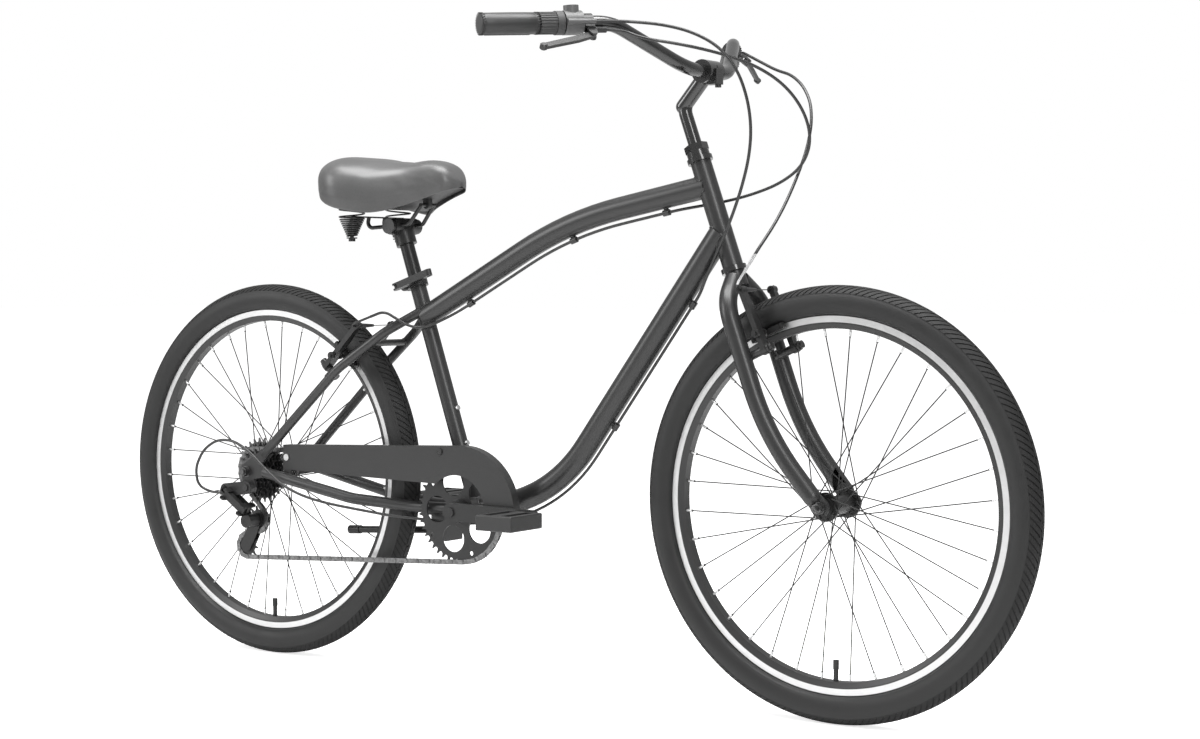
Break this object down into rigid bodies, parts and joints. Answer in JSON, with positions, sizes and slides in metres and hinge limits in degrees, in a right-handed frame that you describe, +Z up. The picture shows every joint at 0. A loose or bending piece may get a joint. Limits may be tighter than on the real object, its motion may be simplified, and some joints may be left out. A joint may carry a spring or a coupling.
{
  "type": "beach cruiser bicycle",
  "caption": "Step-over beach cruiser bicycle with a curved frame, swept-back handlebar, sprung saddle, rim brakes, derailleur gearing, chain guard and fold-down stand.",
  "frame": {"origin": "on the ground, midway between the two wheel axles in the bicycle's middle plane", "axes": "+X forward, +Y to the rider's left, +Z up; the chain is on the -Y side"},
  "size_m": [1.879, 0.755, 1.1232],
  "materials": {
    "frame_paint": "matte dark grey paint",
    "black_metal": "gloss black paint",
    "black_alloy": "black anodised",
    "steel": "plain steel",
    "dark_steel": "dark phosphated steel",
    "bright": "plated bolts",
    "tyre": "black rubber",
    "rubber": "black rubber",
    "black_plastic": "moulded black",
    "clear_plastic": "clear moulded disc",
    "vinyl": "dark grey soft vinyl"
  },
  "bodies": {
    "frame": {"frame": "frame_paint", "bearing_cups": "black_metal", "seat_collar": "black_alloy", "chain_guard": "frame_paint", "frame_bolts": "bright", "rear_axle": "dark_steel", "kickstand_bracket": "black_metal", "rear_brake_cable": "black_plastic", "shift_cable": "black_plastic", "chain": "steel", "derailleur_mount": "black_metal"},
    "seat_collar_lever": {"seat_collar_lever": "black_alloy"},
    "seat_post": {"seat_post": "black_metal", "saddle_rails": "black_metal", "saddle_springs": "black_metal"},
    "saddle_top": {"saddle_base": "black_plastic", "saddle_cushion": "vinyl"},
    "kickstand": {"kickstand_leg": "black_metal"},
    "fork": {"fork": "frame_paint", "fork_bolts": "bright", "headset_races": "black_metal", "stem": "black_metal", "handlebar": "black_metal", "handlebar_grips": "rubber", "shifter_body": "black_plastic", "brake_lever_brackets": "black_alloy", "front_axle": "dark_steel", "front_brake_cable": "black_plastic", "rear_brake_loop": "black_plastic", "shift_loop": "black_plastic"},
    "shifter_twist": {"shifter_twist": "rubber"},
    "lever_left": {"brake_lever_left": "black_alloy"},
    "lever_right": {"brake_lever_right": "black_alloy"},
    "front_brake_left": {"front_brake_arm_left": "black_alloy"},
    "front_brake_right": {"front_brake_arm_right": "black_alloy"},
    "rear_brake_left": {"rear_brake_arm_left": "black_alloy"},
    "rear_brake_right": {"rear_brake_arm_right": "black_alloy"},
    "front_wheel": {"front_tyre": "tyre", "front_inner_tube": "rubber", "front_rim": "black_alloy", "front_spokes": "dark_steel", "front_hub": "black_alloy"},
    "rear_wheel": {"rear_tyre": "tyre", "rear_inner_tube": "rubber", "rear_rim": "black_alloy", "rear_spokes": "dark_steel", "rear_hub": "black_alloy", "spoke_guard": "clear_plastic"},
    "freewheel": {"freewheel": "dark_steel"},
    "crank": {"crank_arms": "black_metal", "chainring": "black_metal", "crank_axles": "dark_steel"},
    "pedal_left": {"pedal_left": "black_plastic"},
    "pedal_right": {"pedal_right": "black_plastic"},
    "derailleur_outer_link": {"derailleur_outer_link": "black_metal"},
    "derailleur_inner_link": {"derailleur_inner_link": "black_metal"},
    "derailleur_knuckle": {"derailleur_knuckle": "black_metal"},
    "derailleur_cage": {"derailleur_cage": "black_metal"},
    "guide_pulley": {"guide_pulley": "black_plastic"},
    "tension_pulley": {"tension_pulley": "black_plastic"}
  },
  "joints": [
    {"name": "steering", "type": "hinge", "parent": "frame", "child": "fork", "pos_m": [0.40487, 0, 0.71806], "axis": [-0.342, 0, 0.9397], "range_deg": [-60, 60], "deforming": ["rear_brake_loop", "shift_loop"]},
    {"name": "front_wheel_spin", "type": "hinge", "parent": "fork", "child": "front_wheel", "pos_m": [0.5945, 0, 0.345], "axis": [0, 1, 0], "continuous": true},
    {"name": "rear_wheel_spin", "type": "hinge", "parent": "frame", "child": "rear_wheel", "pos_m": [-0.5945, 0, 0.345], "axis": [0, 1, 0], "continuous": true},
    {"name": "crank_spin", "type": "hinge", "parent": "frame", "child": "crank", "pos_m": [-0.1148, 0, 0.298], "axis": [0, 1, 0], "continuous": true, "deforming": ["chain"]},
    {"name": "freewheel_spin", "type": "hinge", "parent": "frame", "child": "freewheel", "pos_m": [-0.5945, 0, 0.345], "axis": [0, 1, 0], "continuous": true},
    {"name": "pedal_left_spin", "type": "hinge", "parent": "crank", "child": "pedal_left", "pos_m": [-0.2848, 0, 0.298], "axis": [0, 1, 0], "continuous": true},
    {"name": "pedal_right_spin", "type": "hinge", "parent": "crank", "child": "pedal_right", "pos_m": [0.0552, 0, 0.298], "axis": [0, 1, 0], "continuous": true},
    {"name": "lever_left_pull", "type": "hinge", "parent": "fork", "child": "lever_left", "pos_m": [0.27777, 0.25368, 1.07504], "axis": [0.5178, 0.3833, 0.7649], "range_deg": [0, 18], "stiffness_Nm_per_rad": 1.5, "deforming": ["front_brake_cable"]},
    {"name": "front_brake_left_swing", "type": "hinge", "parent": "fork", "child": "front_brake_left", "pos_m": [0.48312, 0.048, 0.58496], "axis": [0.907, 0, 0.421], "range_deg": [0, 4]},
    {"name": "front_brake_right_swing", "type": "hinge", "parent": "fork", "child": "front_brake_right", "pos_m": [0.48312, -0.048, 0.58496], "axis": [-0.907, 0, -0.421], "range_deg": [0, 4]},
    {"name": "lever_right_pull", "type": "hinge", "parent": "fork", "child": "lever_right", "pos_m": [0.29127, -0.23269, 1.07642], "axis": [-0.5178, 0.3833, -0.7649], "range_deg": [0, 18], "stiffness_Nm_per_rad": 1.5, "deforming": ["rear_brake_cable"]},
    {"name": "rear_brake_left_swing", "type": "hinge", "parent": "frame", "child": "rear_brake_left", "pos_m": [-0.41073, 0.048, 0.5353], "axis": [0.7193, 0, -0.6947], "range_deg": [0, 4]},
    {"name": "rear_brake_right_swing", "type": "hinge", "parent": "frame", "child": "rear_brake_right", "pos_m": [-0.41073, -0.048, 0.5353], "axis": [-0.7193, 0, 0.6947], "range_deg": [0, 4]},
    {"name": "shifter_turn", "type": "hinge", "parent": "fork", "child": "shifter_twist", "pos_m": [0.22657, -0.28799, 1.09251], "axis": [-0.54, -0.8398, -0.0553], "range_deg": [-42, 42], "deforming": ["chain"]},
    {"name": "outer_link_swing", "type": "hinge", "parent": "frame", "child": "derailleur_outer_link", "pos_m": [-0.6285, -0.091, 0.303], "axis": [0.5595, 0, 0.8288], "range_deg": [-18, 18]},
    {"name": "inner_link_swing", "type": "hinge", "parent": "frame", "child": "derailleur_inner_link", "pos_m": [-0.6285, -0.077, 0.303], "axis": [0.5595, 0, 0.8288], "range_deg": [-18, 18]},
    {"name": "knuckle_swing", "type": "hinge", "parent": "derailleur_outer_link", "child": "derailleur_knuckle", "pos_m": [-0.5885, -0.091, 0.276], "axis": [0.5595, 0, 0.8288], "range_deg": [-18, 18]},
    {"name": "cage_swing", "type": "hinge", "parent": "derailleur_knuckle", "child": "derailleur_cage", "pos_m": [-0.5905, -0.07, 0.254], "axis": [0, 1, 0], "range_deg": [-25, 25], "stiffness_Nm_per_rad": 0.8, "deforming": ["chain"]},
    {"name": "guide_pulley_spin", "type": "hinge", "parent": "derailleur_cage", "child": "guide_pulley", "pos_m": [-0.5905, -0.0475, 0.254], "axis": [0, 1, 0], "continuous": true},
    {"name": "tension_pulley_spin", "type": "hinge", "parent": "derailleur_cage", "child": "tension_pulley", "pos_m": [-0.61764, -0.0475, 0.20502], "axis": [0, 1, 0], "continuous": true},
    {"name": "kickstand_fold", "type": "hinge", "parent": "frame", "child": "kickstand", "pos_m": [-0.1898, 0.042, 0.252], "axis": [0, -0.9063, -0.4226], "range_deg": [0, 87]},
    {"name": "seat_height", "type": "slide", "parent": "frame", "child": "seat_post", "axis": [-0.3223, 0, 0.9466], "range_m": [-0.05, 0.05]},
    {"name": "collar_lever_open", "type": "hinge", "parent": "frame", "child": "seat_collar_lever", "pos_m": [-0.27222, -0.029, 0.68597], "axis": [0.3223, 0, -0.9466], "range_deg": [0, 150]},
    {"name": "saddle_flex", "type": "hinge", "parent": "seat_post", "child": "saddle_top", "pos_m": [-0.22461, 0, 0.82975], "axis": [0, -1, 0], "range_deg": [0, 2.5], "stiffness_Nm_per_rad": 600, "springref_deg": -0.57, "deforming": ["saddle_springs"]}
  ],
  "couplings": [
    {"joint": "freewheel_spin", "follows": "crank_spin", "ratio": 2.2},
    {"joint": "guide_pulley_spin", "follows": "crank_spin", "ratio": -4},
    {"joint": "tension_pulley_spin", "follows": "crank_spin", "ratio": 4},
    {"joint": "front_brake_left_swing", "follows": "lever_left_pull", "ratio": 0.22222},
    {"joint": "front_brake_right_swing", "follows": "lever_left_pull", "ratio": 0.22222},
    {"joint": "rear_brake_left_swing", "follows": "lever_right_pull", "ratio": 0.22222},
    {"joint": "rear_brake_right_swing", "follows": "lever_right_pull", "ratio": 0.22222},
    {"joint": "outer_link_swing", "follows": "shifter_turn", "ratio": 0.42857},
    {"joint": "inner_link_swing", "follows": "shifter_turn", "ratio": 0.42857},
    {"joint": "knuckle_swing", "follows": "shifter_turn", "ratio": -0.42857}
  ]
}
